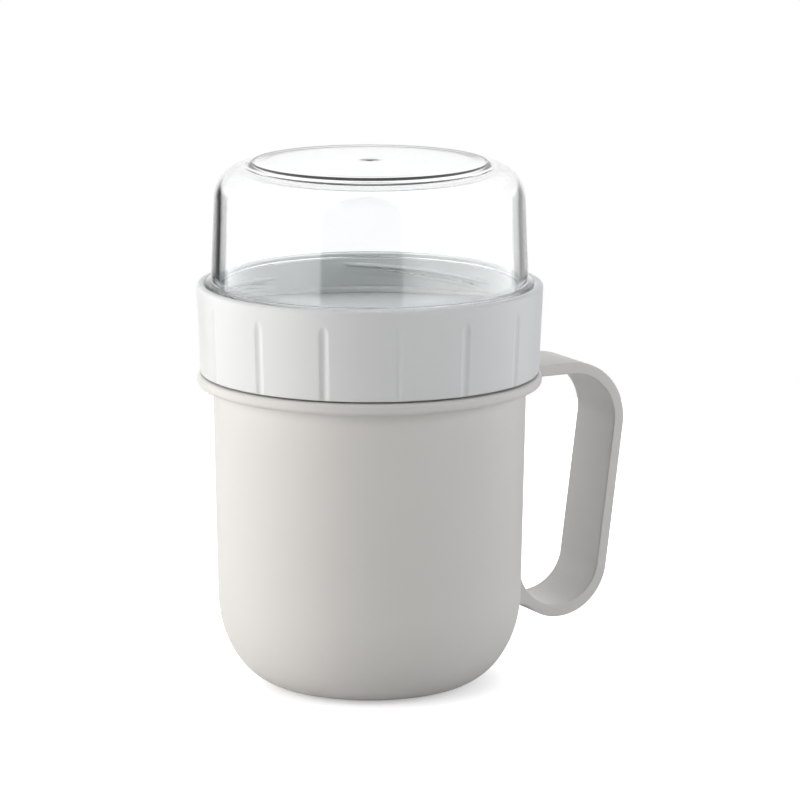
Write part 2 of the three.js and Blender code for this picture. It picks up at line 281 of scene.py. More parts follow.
def add_node(tree, kind, inputs=None, **settings):
    """A node with its settings. An input is a value, or a socket that is linked to it.
    A node as an input stands for its first output."""
    node = tree.nodes.new(kind)
    for name, value in settings.items():
        setattr(node, name, value)
    for name, value in (inputs or {}).items():
        if isinstance(value, bpy.types.Node):
            value = value.outputs[0]
        if isinstance(value, bpy.types.NodeSocket):
            tree.links.new(value, node.inputs[name])
        else:
            node.inputs[name].default_value = value
    return node


def new_surface(name):
    """A material and its empty node tree."""
    material = bpy.data.materials.new(name)
    material.use_nodes = True
    material.node_tree.nodes.clear()
    return material, material.node_tree


def per_metre(size):
    """The texture scale at which a pattern repeats about once in a size in millimetres."""
    return 1 / (size * MM)


print(f"half bright, #808080, is {linear('#808080')[0]:.3f} in linear light")

# %% [markdown]
# ## Satin polypropylene
#
# The cup and the collar are injection-moulded polypropylene. The steel mould was spark eroded and lightly
# polished, which leaves a satin skin: a soft broad highlight, an even colour and a very fine grain. The
# melt's flow makes the tone and the gloss wander slightly over centimetres. Noise in the object's own space
# gives both: it needs no unwrapping, and it doesn't stretch on the bends. Both greys share one recipe.

# %% Satin polypropylene, warm and cool
PP_IOR = 1.49
PP_FLOW = 35  # size of the slow changes in tone and gloss
PP_GRAIN = 0.7  # coarser than the real 0.1 mm so that it can show
PP_GRAIN_DEPTH = 0.004
NOISE_LOW, NOISE_HIGH = 0.3, 0.7  # most values of a noise texture lie between these


def satin_polypropylene(name, pale, deep, gloss, dull):
    """A satin plastic between two tones of grey, with a roughness between gloss and dull."""
    material, tree = new_surface(name)
    place = add_node(tree, "ShaderNodeTexCoord").outputs["Object"]
    flow = add_node(tree, "ShaderNodeTexNoise", {
        "Vector": place, "Scale": per_metre(PP_FLOW), "Detail": 3,
    }).outputs["Fac"]
    tone = add_node(tree, "ShaderNodeMix", {
        "Factor": flow, "A": linear(deep), "B": linear(pale),
    }, data_type="RGBA")
    satin = add_node(tree, "ShaderNodeMapRange", {
        "Value": flow, "From Min": NOISE_LOW, "From Max": NOISE_HIGH, "To Min": gloss, "To Max": dull,
    })
    grain = add_node(tree, "ShaderNodeTexNoise", {
        "Vector": place, "Scale": per_metre(PP_GRAIN), "Detail": 2,
    })
    skin = add_node(tree, "ShaderNodeBump", {
        "Height": grain.outputs["Fac"], "Distance": PP_GRAIN_DEPTH * MM, "Strength": 0.5,
    })
    shader = add_node(tree, "ShaderNodeBsdfPrincipled", {
        "Base Color": tone.outputs["Result"], "Roughness": satin.outputs["Result"], "IOR": PP_IOR,
        "Normal": skin.outputs["Normal"],
    })
    add_node(tree, "ShaderNodeOutputMaterial", {"Surface": shader.outputs["BSDF"]})
    return material


warm_grey = satin_polypropylene(
    "moulded_polypropylene_warm_grey", pale="#d7d6d4", deep="#d3d2d0", gloss=0.42, dull=0.5,
)
cool_grey = satin_polypropylene(
    "moulded_polypropylene_cool_grey", pale="#dcdfe0", deep="#d8dbdc", gloss=0.36, dull=0.44,
)
print("satin plastics:", warm_grey.name, cool_grey.name)

# %% [markdown]
# ## Clear styrene plastic
#
# The bowl is a clear styrene copolymer from a polished mould: smooth, with a high index that makes its
# edges read as dark and bright lines. A thin see-through skin would lose those lines, so the bowl is a
# closed body with a real wall, and light bends twice in each wall.

# %% Clear plastic
CLEAR_IOR = 1.57
CLEAR_FLOW = 18  # size of the faint changes in polish


def polished_clear_plastic(name):
    """A polished clear plastic whose gloss wanders a little."""
    material, tree = new_surface(name)
    place = add_node(tree, "ShaderNodeTexCoord").outputs["Object"]
    flow = add_node(tree, "ShaderNodeTexNoise", {
        "Vector": place, "Scale": per_metre(CLEAR_FLOW), "Detail": 2,
    })
    polish = add_node(tree, "ShaderNodeMapRange", {
        "Value": flow.outputs["Fac"], "From Min": NOISE_LOW, "From Max": NOISE_HIGH,
        "To Min": 0, "To Max": 0.03,
    })
    shader = add_node(tree, "ShaderNodeBsdfPrincipled", {
        "Base Color": linear("#fcfdfd"), "Roughness": polish.outputs["Result"], "IOR": CLEAR_IOR,
        "Transmission Weight": 1,
    })
    # A ray sent straight to a lamp can't bend on its way, so it passes the wall as if through thin film
    path = add_node(tree, "ShaderNodeLightPath").outputs
    film = add_node(tree, "ShaderNodeBsdfTransparent", {"Color": linear("#fdfefe")})
    surface = add_node(tree, "ShaderNodeMixShader", {
        0: path["Is Shadow Ray"], 1: shader.outputs["BSDF"], 2: film.outputs["BSDF"],
    })
    add_node(tree, "ShaderNodeOutputMaterial", {"Surface": surface.outputs["Shader"]})
    return material


clear_plastic = polished_clear_plastic("moulded_clear_styrene_polished")
print("clear plastic:", clear_plastic.name)

# %% [markdown]
# ## Milky silicone
#
# The seals are pressed from milky silicone. It is soft and matt, light goes a little way into it, and it
# picks up fine dust, so its tone and its roughness change in small clouds. A surface that only scattered
# light would look like wax, so a third of it does, and the rest is plain matt.

# %% Silicone
SILICONE_IOR = 1.41
SILICONE_DUST = 2.5  # size of the clouds of dust
SILICONE_DEPTH = 1.5  # how far light goes into it


def milky_silicone(name):
    """A soft milky rubber with a little dust on it."""
    material, tree = new_surface(name)
    place = add_node(tree, "ShaderNodeTexCoord").outputs["Object"]
    dust = add_node(tree, "ShaderNodeTexNoise", {
        "Vector": place, "Scale": per_metre(SILICONE_DUST), "Detail": 4,
    }).outputs["Fac"]
    tone = add_node(tree, "ShaderNodeMix", {
        "Factor": dust, "A": linear("#d3d6d6"), "B": linear("#dee0e0"),
    }, data_type="RGBA")
    matt = add_node(tree, "ShaderNodeMapRange", {"Value": dust, "To Min": 0.5, "To Max": 0.7})
    shader = add_node(tree, "ShaderNodeBsdfPrincipled", {
        "Base Color": tone.outputs["Result"], "Roughness": matt.outputs["Result"], "IOR": SILICONE_IOR,
        "Subsurface Weight": 0.3, "Subsurface Radius": (1, 1, 1), "Subsurface Scale": SILICONE_DEPTH * MM,
    })
    add_node(tree, "ShaderNodeOutputMaterial", {"Surface": shader.outputs["BSDF"]})
    return material


silicone = milky_silicone("pressed_silicone_milky")
print("silicone:", silicone.name)

# %% [markdown]
# ## Threads
#
# Both screws are four-start right-hand threads, so each start is a short ridge that climbs a few
# millimetres and fades into its wall at both ends. A Screw modifier can't fade its section. So a
# round-topped section is carried along the helix step by step, and the ridge is joined to its wall as one
# body. The ridges that face each other share one lead, so that they never touch as they turn.

# %% Thread ridges
THREAD_LEAD = 16  # rise in one whole turn
THREAD_STARTS = 4
THREAD_DEPTH = 1.4
THREAD_FOOT = 1.5  # width at the foot
THREAD_SINK = 0.5  # how far the foot is sunk into its wall
THREAD_CLEARANCE = 0.45
THREAD_ARC = 67.5  # degrees
THREAD_FADE = 9  # degrees at each end
THREAD_MARGIN = 1
SEAT_GAP = 0.3
NECK_THREAD_PHASE = 0  # degrees from the handle
SPIGOT_THREAD_PHASE = 7.5
RIDGE_STEPS, RIDGE_FACETS = 90, 20
RIDGE_OFFSET = THREAD_FOOT + SEAT_GAP  # between the ridges that face each other
thread_rise = THREAD_LEAD * THREAD_ARC / 360


def eased(share):
    """A share from 0 to 1 with a soft start and a soft end."""
    return 0.5 - 0.5 * math.cos(math.pi * min(1, share))


def thread_ridge(wall, crest, phase, height):
    """One start of a thread, from its wall's radius to its crest's."""
    sink = math.copysign(THREAD_SINK, crest - wall)
    foot = wall - sink
    sections = []
    for i in range(RIDGE_STEPS + 1):
        turn = THREAD_ARC * i / RIDGE_STEPS
        fade = eased(min(turn, THREAD_ARC - turn) / THREAD_FADE)
        top = wall + (crest - wall) * fade - sink / 2 * (1 - fade)
        section = bend((foot, 0), top - foot, THREAD_FOOT / 2, -90, 90, RIDGE_FACETS)
        rise = height + THREAD_LEAD * turn / 360
        angle = math.radians(phase + turn)
        sections.append([(r * math.cos(angle), r * math.sin(angle), rise + z) for r, z in section])
    return lofted("ridge", sections)


def threaded(body, wall, crest, phase, height):
    """The body with all the starts of a thread joined to its wall."""
    for start in range(THREAD_STARTS):
        combine(body, thread_ridge(wall, crest, phase + 360 * start / THREAD_STARTS, height), "UNION")
    return body


print(f"{THREAD_STARTS} starts, each climbs {thread_rise:.1f} mm")

# %% [markdown]
# ## Strip handle
#
# The handle is a flat strip with round edges that leaves the flange level, bends down, leans in towards the
# base and runs into the wall with a fillet. It is moulded on, not stuck on. A curve with a bevel profile
# would twist at the root, where the strip gets deeper, so the outer and the inner line of the loop are
# drawn one by one and a rounded section is laid between them, step by step.

# %% Cup sizes
CUP_RADIUS = 47.7  # outside of the wall at the flange, and of the neck
CUP_DRAFT = math.tan(math.radians(1.15))
CUP_WALL = 2
CORNER_WIDTH, CORNER_HEIGHT = 20, 28  # the round bottom corner
FLANGE_TOP = 95.85
FLANGE_THICKNESS = 3.4
FLANGE_ROUNDING = 1.3
LIP_ROUNDING = 0.5
flange_radius = -cup_low.x
flange_underside = FLANGE_TOP - FLANGE_THICKNESS
neck_top = cup_high.z
corner_radius = CUP_RADIUS - CUP_DRAFT * (flange_underside - CORNER_HEIGHT)
corner_middle = corner_radius - CORNER_WIDTH
print(f"flange radius {flange_radius:.2f}, wall at the corner {corner_radius:.2f}")

# %% Handle sizes
HANDLE_WIDTH, HANDLE_THICKNESS = 23, 3.45
LOW_THICKNESS = 3.9  # at the lowest point of the loop
HANDLE_HEIGHT = 80.05
HANDLE_DROP = 1.15  # below the flange's upper face
HANDLE_LEAN = math.radians(7.3)
HANDLE_EDGE = 0.45
TOP_BEND, LOW_BEND = 18.6, 17  # outer radii
ROOT_FILLET = 14
ROOT_FADE = 12  # height over which the fillet's upper end fades into the wall
ROOT_SWEEP, ROOT_CURVE = 15.5, 5.5  # radii of the underside, up from its lowest point, then level again
ROOT_RISE = math.radians(42)
ROOT_FLARE = 0.8  # fillet beside the strip, where it meets the cup
ROOT_SUNK = 8  # how far both ends reach into the cup, which is hollowed out later
handle_top = FLANGE_TOP - HANDLE_DROP
handle_low = handle_top - HANDLE_HEIGHT
top_middle = Vector((cup_high.x - TOP_BEND, handle_top - TOP_BEND))
low_drop = top_middle.y - (handle_low + LOW_BEND)
low_inset = (TOP_BEND - LOW_BEND) / math.cos(HANDLE_LEAN) - low_drop * math.tan(HANDLE_LEAN)
low_middle = Vector((top_middle.x + low_inset, handle_low + LOW_BEND))
wall_edge = math.sqrt(corner_radius**2 - (HANDLE_WIDTH / 2) ** 2)
flange_edge = math.sqrt(flange_radius**2 - (HANDLE_WIDTH / 2) ** 2)
print(f"handle {handle_low:.2f} to {handle_top:.2f} high, out to {cup_high.x:.2f}")

# %% Handle loop
FINE_STEP, FINE_STEPS = 0.25, 14  # close to the flange, where the strip flares
FLANGE_OVERLAP, BEND_MARGIN = 2, 4  # keep the shading of the flange and of the bend off the straight run
BEND_STEPS, ROOT_STEPS, FADE_STEPS = 24, 48, 8


def spoke(middle, radius, angle, inset_across=0, inset_up=0):
    """A point on a circle, or on the ellipse that is left when its two radii are set in."""
    across, up = radius - inset_across, radius - inset_up
    return middle + Vector((across * math.cos(angle), up * math.sin(angle)))


def root_lines():
    """Both lines at the lower root: the underside sweeps up to the wall, and a fillet fades into it."""
    sweep_middle = Vector((low_middle.x, handle_low + ROOT_SWEEP))
    under = spoke(sweep_middle, ROOT_SWEEP + ROOT_CURVE, -math.pi / 2 - ROOT_RISE)
    fillet_middle = Vector((low_middle.x, handle_low + LOW_THICKNESS + ROOT_FILLET))
    fillet_reach = low_middle.x - corner_radius
    pairs = []
    for k in range(1, ROOT_STEPS + 1):
        share = k / ROOT_STEPS
        if share < 0.5:
            outer = spoke(sweep_middle, ROOT_SWEEP, -math.pi / 2 - ROOT_RISE * 2 * share)
        else:
            outer = spoke(under, ROOT_CURVE, math.pi / 2 - ROOT_RISE * 2 * (1 - share))
        angle = -math.pi / 2 * (1 + share)
        reach = Vector((fillet_reach * math.cos(angle), ROOT_FILLET * math.sin(angle)))
        pairs.append((outer, fillet_middle + reach))
    outer, inner = pairs[-1]
    faded = Vector((wall_edge, inner.y + ROOT_FADE))
    pairs += [(outer, inner.lerp(faded, k / FADE_STEPS)) for k in range(1, FADE_STEPS + 1)]
    into_cup = Vector((ROOT_SUNK, 0))
    return pairs + [(outer - into_cup, faded - into_cup)]


def handle_lines():
    """The outer and the inner line of the loop, from the flange round to the wall, in pairs of points."""
    fine = [flange_edge + FINE_STEP * k for k in range(FINE_STEPS)]
    runs = [flange_edge - ROOT_SUNK, flange_edge - FLANGE_OVERLAP] + fine + [top_middle.x - BEND_MARGIN]
    pairs = [(Vector((x, handle_top)), Vector((x, handle_top - HANDLE_THICKNESS))) for x in runs]
    for middle, radius, start, end, low in (
        (top_middle, TOP_BEND, math.pi / 2, -HANDLE_LEAN, HANDLE_THICKNESS),
        (low_middle, LOW_BEND, -HANDLE_LEAN, -math.pi / 2, LOW_THICKNESS),
    ):
        for k in range(BEND_STEPS + 1):
            angle = start + (end - start) * k / BEND_STEPS
            inner = spoke(middle, radius, angle, HANDLE_THICKNESS, low)
            pairs.append((spoke(middle, radius, angle), inner))
    return pairs + root_lines()


print("steps along the handle:", len(handle_lines()))

# %% Handle body
EDGE_STEPS, SIDE_STEPS = 6, 16


def wall_radius(height):
    """The outside of the cup's wall, from its round bottom corner up to the flange."""
    if height > CORNER_HEIGHT:
        return CUP_RADIUS - CUP_DRAFT * (flange_underside - height)
    return corner_middle + CORNER_WIDTH * math.sqrt(1 - (1 - height / CORNER_HEIGHT) ** 2)


def flare(place):
    """How much wider the strip is on each side, close to the flange or the wall that it grows from."""
    radius = flange_radius if place.y > flange_underside else wall_radius(place.y)
    clear = place.x - math.sqrt(radius**2 - (HANDLE_WIDTH / 2) ** 2)
    rest = min(max(ROOT_FLARE - clear, 0), ROOT_FLARE)
    return ROOT_FLARE - math.sqrt(ROOT_FLARE**2 - rest**2)


def strip_section(outer, inner):
    """A rounded rectangle between the two lines of the loop, with points down its sides for the flare."""
    middle, across = (outer + inner) / 2, (outer - inner) / 2
    half = across.length
    edge = min(HANDLE_EDGE, half)
    points = []

    def add_point(depth, width, end):
        flat = middle + across.normalized() * depth
        points.append((flat.x, width + end * flare(flat), flat.y))

    for side, end, start in ((1, 1, 0), (-1, 1, 90), (-1, -1, 180), (1, -1, 270)):
        for k in range(EDGE_STEPS + 1):
            angle = math.radians(start + 90 * k / EDGE_STEPS)
            width = end * (HANDLE_WIDTH / 2 - edge) + edge * math.sin(angle)
            add_point(side * (half - edge) + edge * math.cos(angle), width, end)
        if side == end:
            for k in range(1, SIDE_STEPS):
                add_point(side * (half - edge) * (1 - 2 * k / SIDE_STEPS), end * HANDLE_WIDTH / 2, end)
    return points


def strip_handle():
    """The whole handle, with its ends still in the cup."""
    return lofted("strip_handle", [strip_section(outer, inner) for outer, inner in handle_lines()])


print(f"wall behind the handle's root: {wall_radius(handle_low):.2f}")

# %% [markdown]
# ## Cup
#
# The outside is turned solid with its flange and neck, the handle is joined to it, and only then is the
# inside hollowed out. In that order the handle's roots can't show inside. The base has a shallow recess
# with the gate mark in its middle, so that the cup stands on a ring.

# %% Cup
BASE_RECESS_RADIUS, BASE_RECESS_DEPTH = 22, 0.5
BASE_GATE_RADIUS, BASE_GATE_DEPTH = 1.8, 0.3
BASE_GATE_CORNER, BASE_GATE_EDGE = 0.15, 0.1
RECESS_CORNER, RECESS_EDGE = 0.4, 0.3
FLANGE_FILLET, NECK_FILLET = 1.2, 0.5  # below and above the flange
LIP_CHAMFER = 0.7  # inside the lip
CORNER_STEPS = 28
ROW = 4  # between rows on long walls
OVER = 5  # that a cutter passes the surface
base_gate = BASE_RECESS_DEPTH + BASE_GATE_DEPTH
lip_low = neck_top - LIP_ROUNDING


def bottom_corner(inset):
    """The round bottom corner, set in from the outside by a wall."""
    width, rise = CORNER_WIDTH - inset, CORNER_HEIGHT - inset
    return bend((corner_middle, CORNER_HEIGHT), width, rise, -90, 0, CORNER_STEPS)


outside = rounded(
    (0, base_gate),
    (BASE_GATE_RADIUS, base_gate, BASE_GATE_CORNER),
    (BASE_GATE_RADIUS, BASE_RECESS_DEPTH, BASE_GATE_EDGE),
    (BASE_RECESS_RADIUS, BASE_RECESS_DEPTH, RECESS_CORNER),
    (BASE_RECESS_RADIUS + BASE_RECESS_DEPTH, 0, RECESS_EDGE),
    *bottom_corner(0),
    (CUP_RADIUS, flange_underside, FLANGE_FILLET),
    (flange_radius, flange_underside, FLANGE_ROUNDING),
    (flange_radius, FLANGE_TOP, FLANGE_ROUNDING),
    (CUP_RADIUS, FLANGE_TOP, NECK_FILLET),
    (CUP_RADIUS, neck_top, LIP_ROUNDING),
    (0, neck_top),
)
bore = CUP_RADIUS - CUP_WALL
mouth = bore + CUP_DRAFT * (neck_top - FLANGE_TOP)
cavity = rounded(
    (0, CUP_WALL),
    *bottom_corner(CUP_WALL),
    (bore, FLANGE_TOP),
    (mouth, lip_low),
    (mouth + LIP_CHAMFER, lip_low + LIP_CHAMFER),
    (mouth + LIP_CHAMFER, neck_top + OVER),
    (0, neck_top + OVER),
)
cup = turned("cup_moulding", spaced(outside, ROW))
combine(cup, strip_handle(), "UNION")
combine(cup, turned("cup_cavity", spaced(cavity, ROW)), "DIFFERENCE")
neck_crest = CUP_RADIUS + THREAD_DEPTH
neck_ridge = FLANGE_TOP + THREAD_MARGIN + RIDGE_OFFSET + THREAD_FOOT
threaded(cup, CUP_RADIUS, neck_crest, NECK_THREAD_PHASE, neck_ridge)
dressed(cup, "cup", "cup", warm_grey)

# %% [markdown]
# ## Collar
#
# The collar is a lid on both sides. A partition closes the cup below it and is the floor of the bowl above,
# and a rib under the partition stands inside the cup's neck. Its outside widens a little upwards and has
# round-bottomed grip flutes that end below the rim. Bump shading would lose the flutes at the outline, so
# they are pressed into the turned surface, which gets its finest steps where the flutes are.

# %% Collar sizes
COLLAR_WALL = 1.9
COLLAR_RIM_WIDTH = 2.4
COLLAR_RIM_ROUNDING = 1.2
LEDGE_DEPTH = 1.3
GASKET_THICKNESS = 1.5
PARTITION_THICKNESS = 1.8
SEAL_RIB_HEIGHT, SEAL_RIB_THICKNESS = 4.3, 1.4
STOP_RING_WIDTH = 0.8
skirt_bore = neck_crest + THREAD_CLEARANCE
collar_low_radius = skirt_bore + COLLAR_WALL
collar_top_radius = collar_high.x
partition_underside = neck_top + 2 * SEAT_GAP + GASKET_THICKNESS
pocket_floor = partition_underside + PARTITION_THICKNESS
seal_rib = bore - SEAT_GAP
seal_rib_inside = seal_rib - SEAL_RIB_THICKNESS
seal_rib_low = partition_underside - SEAL_RIB_HEIGHT
ledge_radius = collar_top_radius - COLLAR_RIM_WIDTH
ledge_top = collar_high.z - LEDGE_DEPTH
pocket_bore = ledge_radius - SEAT_GAP - STOP_RING_WIDTH
print(f"partition {partition_underside:.2f} to {pocket_floor:.2f}, pocket radius {pocket_bore:.2f}")

# %% Grip flutes
FLUTE_COUNT = 15
FLUTE_WIDTH, FLUTE_DEPTH = 3.4, 0.42
FLUTE_RUN_OUT = 3.2
FLUTE_SOFTNESS = 1.8  # above 1, the flute's sides run out softly into the wall
FLUTE_TOP_MARGIN = 4.3
FLUTE_PHASE = 11.4  # degrees from the handle
FLUTE_STEPS, PLAIN_STEPS, RUN_OUT_STEPS = 18, 12, 12
FINE_SHARE = 1.25  # of the flute's width that gets fine steps
flute_top = collar_high.z - FLUTE_TOP_MARGIN
flute_turn = FINE_SHARE * math.degrees(FLUTE_WIDTH / 2 / collar_low_radius)
flute_pitch = 360 / FLUTE_COUNT


def flute_angles():
    """Steps round the collar, fine across each flute and coarse between two."""
    angles = []
    for i in range(FLUTE_COUNT):
        start = FLUTE_PHASE + flute_pitch * i - flute_turn
        angles += [start + 2 * flute_turn * k / FLUTE_STEPS for k in range(FLUTE_STEPS)]
        plain = flute_pitch - 2 * flute_turn
        angles += [start + 2 * flute_turn + plain * k / PLAIN_STEPS for k in range(PLAIN_STEPS)]
    return [math.radians(a) for a in angles]


def collar_radius(height):
    """The collar's outside without its flutes."""
    share = (height - collar_low.z) / (collar_high.z - collar_low.z)
    return collar_low_radius + (collar_top_radius - collar_low_radius) * share


def fluted(radius, height, angle):
    """The radius with the nearest flute pressed in, on the outer wall alone."""
    if radius < skirt_bore + COLLAR_WALL / 2 or height > flute_top:
        return radius
    wall = collar_radius(height)
    off = (math.degrees(angle) - FLUTE_PHASE + flute_pitch / 2) % flute_pitch - flute_pitch / 2
    across = math.radians(off) * wall
    past = max(0, height - flute_top + FLUTE_RUN_OUT) / FLUTE_RUN_OUT
    depth = max(0, 1 - (2 * across / FLUTE_WIDTH) ** 2 - past**2) ** FLUTE_SOFTNESS
    return min(radius, wall - FLUTE_DEPTH * depth)


print(f"{FLUTE_COUNT} flutes up to {flute_top:.2f}, {flute_pitch:.0f} degrees apart")

# %% Collar
RIB_ROOT, RIB_EDGE, RIB_LEAD_IN = 0.5, 0.4, 0.6
SEAT_CORNER = 0.2  # where a wall meets the partition
SKIRT_INNER_EDGE, SKIRT_OUTER_EDGE = 0.4, 0.5
RIM_INNER_EDGE = 0.4
LEDGE_CORNER, LEDGE_EDGE = 0.15, 0.3
LOW_ROW = 2  # height of the first row above the skirt's edge
run_out_rows = [flute_top - FLUTE_RUN_OUT * k / RUN_OUT_STEPS for k in range(RUN_OUT_STEPS, -2, -1)]
collar_outline = rounded(
    (0, pocket_floor),
    (0, partition_underside),
    (seal_rib_inside, partition_underside, RIB_ROOT),
    (seal_rib_inside, seal_rib_low, RIB_EDGE),
    (seal_rib, seal_rib_low, RIB_LEAD_IN),
    (seal_rib, partition_underside, SEAT_CORNER),
    (skirt_bore, partition_underside, SEAT_CORNER),
    (skirt_bore, collar_low.z, SKIRT_INNER_EDGE),
    (collar_low_radius, collar_low.z, SKIRT_OUTER_EDGE),
    *[(collar_radius(z), z) for z in [collar_low.z + LOW_ROW] + run_out_rows],
    (collar_top_radius, collar_high.z, COLLAR_RIM_ROUNDING),
    (ledge_radius, collar_high.z, RIM_INNER_EDGE),
    (ledge_radius, ledge_top, LEDGE_CORNER),
    (pocket_bore, ledge_top, LEDGE_EDGE),
    (pocket_bore, pocket_floor, SEAT_CORNER),
    (0, pocket_floor),
)
collar = turned("collar_moulding", spaced(collar_outline, ROW), flute_angles(), fluted)
skirt_crest = CUP_RADIUS + THREAD_CLEARANCE
threaded(collar, skirt_bore, skirt_crest, NECK_THREAD_PHASE, neck_ridge - RIDGE_OFFSET)
spigot_radius = pocket_bore - THREAD_CLEARANCE - THREAD_DEPTH
spigot_ridge = bowl_low.z + THREAD_MARGIN + THREAD_FOOT / 2
pocket_crest = spigot_radius + THREAD_CLEARANCE
threaded(collar, pocket_bore, pocket_crest, SPIGOT_THREAD_PHASE, spigot_ridge + RIDGE_OFFSET)
dressed(collar, "collar", "collar", cool_grey)

# %% [markdown]
# ## Gaskets
#
# Each screw squeezes a flat silicone ring. A plain washer would look cut from sheet. A pressed seal has
# round edges and a bead on the side that meets the lip, so the ring is turned from such a section.

# %% Gaskets
BEAD, BEAD_WIDTH = 0.35, 1.6  # how far the bead stands up from the ring's face, and its foot
BEAD_ROUNDING, RING_ROUNDING = 0.4, 0.3
SEATED = 0.02  # left below a ring that its screw presses into its seat
BOWL_GASKET_WIDTH = 3.4


def gasket(name, inner, outer, seat, lip):
    """A ring with round edges that lies flat at the height of its seat, with a bead to the lip's height."""
    middle, half = (inner + outer) / 2, BEAD_WIDTH / 2
    face = lip - math.copysign(BEAD, lip - seat)
    section = rounded(
        (inner, seat, RING_ROUNDING),
        (outer, seat, RING_ROUNDING),
        (outer, face, RING_ROUNDING),
        (middle + half, face, RING_ROUNDING),
        (middle, lip, BEAD_ROUNDING),
        (middle - half, face, RING_ROUNDING),
        (inner, face, RING_ROUNDING),
    )
    return turned(name, section)


neck_inner, neck_outer = seal_rib + SEAT_GAP, skirt_bore - SEAT_GAP
neck_seat, neck_lip = partition_underside - SEATED, neck_top + SEAT_GAP
neck_ring = gasket("cup_gasket_ring", neck_inner, neck_outer, neck_seat, neck_lip)
dressed(neck_ring, "cup_gasket", "cup_gasket", silicone)
pocket_outer = pocket_bore - SEAT_GAP
pocket_inner = pocket_outer - BOWL_GASKET_WIDTH
pocket_seat, pocket_lip = pocket_floor + SEATED, pocket_floor + SEAT_GAP + GASKET_THICKNESS
pocket_ring = gasket("bowl_gasket_ring", pocket_inner, pocket_outer, pocket_seat, pocket_lip)
dressed(pocket_ring, "bowl_gasket", "bowl_gasket", silicone)

# %% [markdown]
# ## Clear bowl
#
# The bowl stands upside down: a threaded spigot in the collar's pocket, a stop ring on the collar's ledge,
# a wall, a round shoulder and a raised foot with the gate's dimple. Because it is clear, its inside shows
# as much as its outside, so both are drawn in one outline and the wall keeps its real thickness everywhere.
# Ridges joined to the spigot would leave seams that show, so its thread is worked into the turned surface.

# %% Clear bowl sizes
STOP_RING_THICKNESS = 1.6
SPIGOT_LENGTH = 8.7
SPIGOT_WALL = 1.5
MOUTH_EASE = 4  # rounding inside, where the spigot meets the wider wall
SHOULDER_STEP = 1.85
BOWL_DRAFT = math.tan(math.radians(2.45))
BOWL_WALL = 2
SHOULDER = 10.2
FOOT_HEIGHT, FOOT_SLOPE = 0.9, 1.3
FOOT_INSET = 0.7  # of the corner inside, from the foot's edge outside
GATE_RADIUS, GATE_DEPTH = 1.05, 0.12
stop_ring_radius = bowl_high.x
stop_ring_bottom = bowl_low.z + SPIGOT_LENGTH
stop_ring_top = stop_ring_bottom + STOP_RING_THICKNESS
bowl_radius = stop_ring_radius - SHOULDER_STEP
foot_top = bowl_high.z
roof = foot_top - BOWL_WALL
shoulder_height = foot_top - FOOT_HEIGHT - SHOULDER
shoulder_middle = bowl_radius - BOWL_DRAFT * (shoulder_height - stop_ring_top) - SHOULDER
foot_radius = shoulder_middle - FOOT_SLOPE
inner_shoulder = SHOULDER - BOWL_WALL
mouth_radius = spigot_radius - SPIGOT_WALL
print(f"bowl radius {bowl_radius:.2f}, shoulder from {shoulder_height:.2f}, foot radius {foot_radius:.2f}")

# %% Clear bowl
CLEAR_RIDGE, SOFT_FOOT = 0.6, 1.35  # height and half the width of the clear thread
CLEAR_FADE = 18  # degrees at each end
THREAD_ROW = 0.1  # between rows on the thread
SHOULDER_STEPS = 16
ROOF_CORNER, FOOT_EDGE, GATE_EDGE = 0.8, 0.4, 0.06
MOUTH_INNER_EDGE, MOUTH_OUTER_EDGE = 0.25, 0.3
RING_CORNER, RING_LOW_EDGE, RING_TOP_EDGE = 0.3, 0.3, 0.15
WALL_CORNER = 0.1  # where the wall stands on the stop ring


def ridged(radius, height, angle):
    """The spigot's radius with its thread."""
    turn = (math.degrees(angle) - SPIGOT_THREAD_PHASE) % (360 / THREAD_STARTS)
    off = abs(height - spigot_ridge - THREAD_LEAD * turn / 360)
    if abs(radius - spigot_radius) > SAME_POINT or off > SOFT_FOOT or turn > THREAD_ARC:
        return radius
    fade = eased(min(turn, THREAD_ARC - turn) / CLEAR_FADE)
    return radius + CLEAR_RIDGE * fade * eased(1 - off / SOFT_FOOT)


thread_low = spigot_ridge - SOFT_FOOT
thread_rows = round((thread_rise + 2 * SOFT_FOOT) / THREAD_ROW)
bowl_outline = rounded(
    (0, roof),
    (foot_radius - FOOT_INSET, roof, ROOF_CORNER),
    *bend((shoulder_middle, shoulder_height), inner_shoulder, inner_shoulder, 90, 0, SHOULDER_STEPS),
    (mouth_radius, stop_ring_bottom, MOUTH_EASE),
    (mouth_radius, bowl_low.z, MOUTH_INNER_EDGE),
    (spigot_radius, bowl_low.z, MOUTH_OUTER_EDGE),
    *[(spigot_radius, thread_low + THREAD_ROW * k) for k in range(thread_rows + 1)],
    (spigot_radius, stop_ring_bottom, RING_CORNER),
    (stop_ring_radius, stop_ring_bottom, RING_LOW_EDGE),
    (stop_ring_radius, stop_ring_top, RING_TOP_EDGE),
    (bowl_radius, stop_ring_top, WALL_CORNER),
    *bend((shoulder_middle, shoulder_height), SHOULDER, SHOULDER, 0, 90, SHOULDER_STEPS),
    (foot_radius, foot_top, FOOT_EDGE),
    (GATE_RADIUS, foot_top, GATE_EDGE),
    (GATE_RADIUS - GATE_DEPTH, foot_top - GATE_DEPTH, GATE_EDGE),
    (0, foot_top - GATE_DEPTH),
)
bowl = turned("clear_bowl_moulding", spaced(bowl_outline, ROW), press=ridged)
dressed(bowl, "bowl", "clear_bowl", clear_plastic)

# %% [markdown]
# ## Floor and background
#
# The photograph is a packshot on pure white with a small contact shadow. Lighting a floor to pure white
# would burn out the pale cup as well. So the floor and the world show white to the eye, to reflections and
# through the clear bowl, and give the object only a plain level of soft light. The floor's white glow is
# painted darker round the base as a painted contact shadow, and its matt part still takes the lamps'
# shadow.

# %% What the studio shows
MIRRORED_DARK = 0.06  # the unlit room, where mirrored rays see no card


